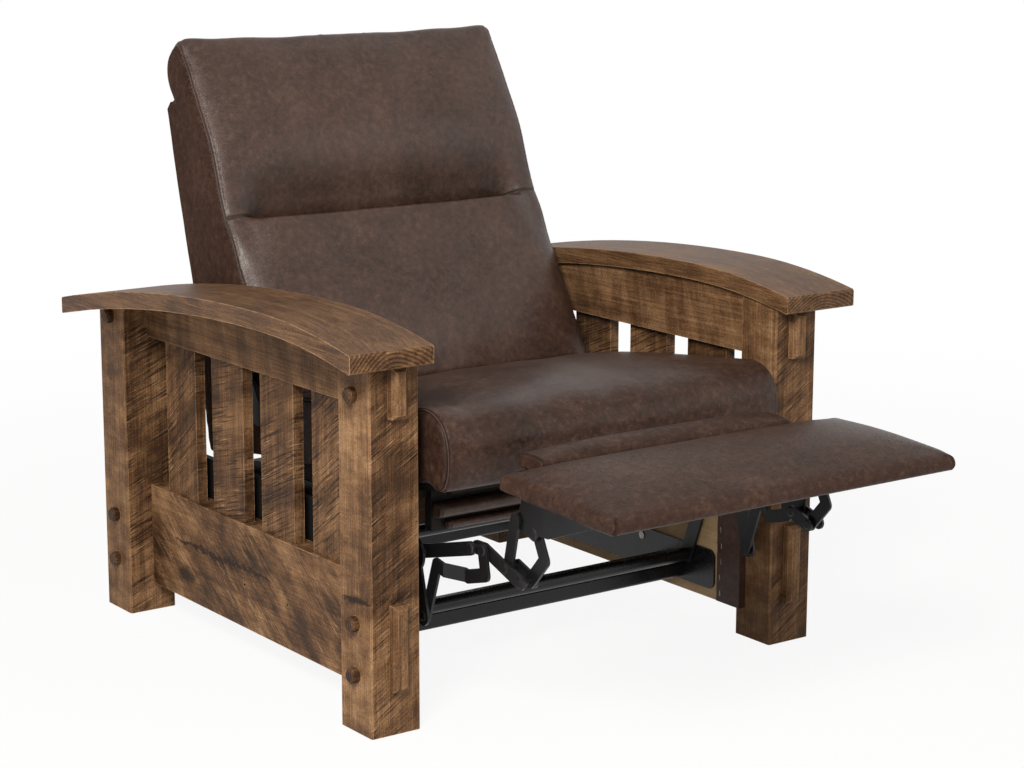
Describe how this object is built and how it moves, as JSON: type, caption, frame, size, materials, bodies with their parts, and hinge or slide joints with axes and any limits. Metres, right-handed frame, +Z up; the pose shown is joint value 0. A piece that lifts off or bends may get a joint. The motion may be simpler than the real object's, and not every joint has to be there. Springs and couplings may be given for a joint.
{
  "type": "wall hugger recliner",
  "caption": "Slatted wooden armchair with leather cushions whose seat glides forward as the back reclines and a linkage carries out a padded footrest.",
  "frame": {"origin": "on the floor under the middle of the open chair's bounding box", "axes": "+X to the chair's right as seen from the front, +Y from footrest to back, +Z up"},
  "size_m": [1.004, 1.3723, 1.0088],
  "materials": {
    "wood": "rough-sawn, stained and waxed",
    "plywood": "bare",
    "leather": "distressed, soft sheen",
    "black_steel": "satin black",
    "bare_steel": "zinc plated"
  },
  "bodies": {
    "base": {"left_front_post": "wood", "right_front_post": "wood", "left_rear_post": "wood", "right_rear_post": "wood", "left_lower_rail": "wood", "right_lower_rail": "wood", "left_upper_rail": "wood", "right_upper_rail": "wood", "left_slats": "wood", "right_slats": "wood", "left_arm": "wood", "right_arm": "wood", "left_inner_panel": "plywood", "right_inner_panel": "plywood", "left_panel_wrap": "leather", "right_panel_wrap": "leather", "left_base_rail": "black_steel", "right_base_rail": "black_steel", "pegs": "wood", "front_blocks": "wood", "rear_stretcher": "wood", "front_cross_rail": "black_steel", "rear_cross_rail": "black_steel", "base_fasteners": "bare_steel"},
    "front_swing": {"left_front_swing_link": "black_steel", "right_front_swing_link": "black_steel", "front_torque_tube": "black_steel"},
    "rear_swing": {"left_rear_swing_link": "black_steel", "right_rear_swing_link": "black_steel", "rear_torque_tube": "black_steel"},
    "carriage": {"left_carriage_plate": "black_steel", "right_carriage_plate": "black_steel", "seat_frame": "plywood", "seat_springs": "bare_steel", "seat_cushion": "leather", "front_roll": "leather", "lower_front_roll": "leather"},
    "back": {"left_back_bracket": "black_steel", "right_back_bracket": "black_steel", "back_board": "plywood", "back_cushion": "leather", "outer_back": "leather"},
    "support": {"left_support_link": "black_steel", "right_support_link": "black_steel"},
    "guide": {"left_guide_strap": "black_steel", "right_guide_strap": "black_steel"},
    "drive": {"left_drive_link": "black_steel", "right_drive_link": "black_steel"},
    "riser": {"left_riser_link": "black_steel", "right_riser_link": "black_steel"},
    "leg": {"left_leg_link": "black_steel", "right_leg_link": "black_steel"},
    "footrest": {"left_footrest_bracket": "black_steel", "right_footrest_bracket": "black_steel", "footrest_board": "plywood", "footrest_pad": "leather"},
    "flipper": {"flipper_board": "plywood", "flipper_pad": "leather", "flipper_arms": "black_steel"}
  },
  "joints": [
    {"name": "back_recline", "type": "hinge", "parent": "carriage", "child": "back", "pos_m": [0, 0.23289, 0.395], "axis": [1, 0, 0], "range_deg": [0, 19]},
    {"name": "front_swing_turn", "type": "hinge", "parent": "base", "child": "front_swing", "pos_m": [0, -0.03711, 0.12], "axis": [1, 0, 0], "range_deg": [-41.34, 0]},
    {"name": "carriage_turn", "type": "hinge", "parent": "front_swing", "child": "carriage", "pos_m": [0, -0.10062, 0.28842], "axis": [1, 0, 0], "range_deg": [0, 41.34]},
    {"name": "rear_swing_turn", "type": "hinge", "parent": "base", "child": "rear_swing", "pos_m": [0, 0.36289, 0.12], "axis": [1, 0, 0], "range_deg": [-41.34, 0]},
    {"name": "footrest_fold", "type": "hinge", "parent": "support", "child": "drive", "pos_m": [0, -0.32771, 0.299], "axis": [1, 0, 0], "range_deg": [0, 107.7]},
    {"name": "support_turn", "type": "hinge", "parent": "carriage", "child": "support", "pos_m": [0, -0.20711, 0.171], "axis": [1, 0, 0], "range_deg": [-20.22, 0]},
    {"name": "guide_turn", "type": "hinge", "parent": "drive", "child": "guide", "pos_m": [0, -0.30521, 0.2983], "axis": [1, 0, 0], "range_deg": [-119.5, 0]},
    {"name": "riser_turn", "type": "hinge", "parent": "drive", "child": "riser", "pos_m": [0, -0.37811, 0.2815], "axis": [1, 0, 0], "range_deg": [-87.52, 0]},
    {"name": "leg_turn", "type": "hinge", "parent": "drive", "child": "leg", "pos_m": [0, -0.41711, 0.268], "axis": [1, 0, 0], "range_deg": [-87.52, 0]},
    {"name": "footrest_turn", "type": "hinge", "parent": "leg", "child": "footrest", "pos_m": [0, -0.43461, 0.346], "axis": [1, 0, 0], "range_deg": [0, 87.52]},
    {"name": "flipper_turn", "type": "hinge", "parent": "footrest", "child": "flipper", "pos_m": [0, -0.4147, 0.40207], "axis": [1, 0, 0], "range_deg": [-175.02, 0]}
  ],
  "couplings": [
    {"joint": "front_swing_turn", "follows": "back_recline", "ratio": -2.1747},
    {"joint": "carriage_turn", "follows": "back_recline", "ratio": 2.1747},
    {"joint": "rear_swing_turn", "follows": "back_recline", "ratio": -2.1747},
    {"joint": "support_turn", "follows": "footrest_fold", "ratio": -0.18756},
    {"joint": "guide_turn", "follows": "footrest_fold", "ratio": -1.1094},
    {"joint": "riser_turn", "follows": "footrest_fold", "ratio": -0.81244},
    {"joint": "leg_turn", "follows": "footrest_fold", "ratio": -0.81244},
    {"joint": "footrest_turn", "follows": "footrest_fold", "ratio": 0.81244},
    {"joint": "flipper_turn", "follows": "footrest_fold", "ratio": -1.6249}
  ]
}
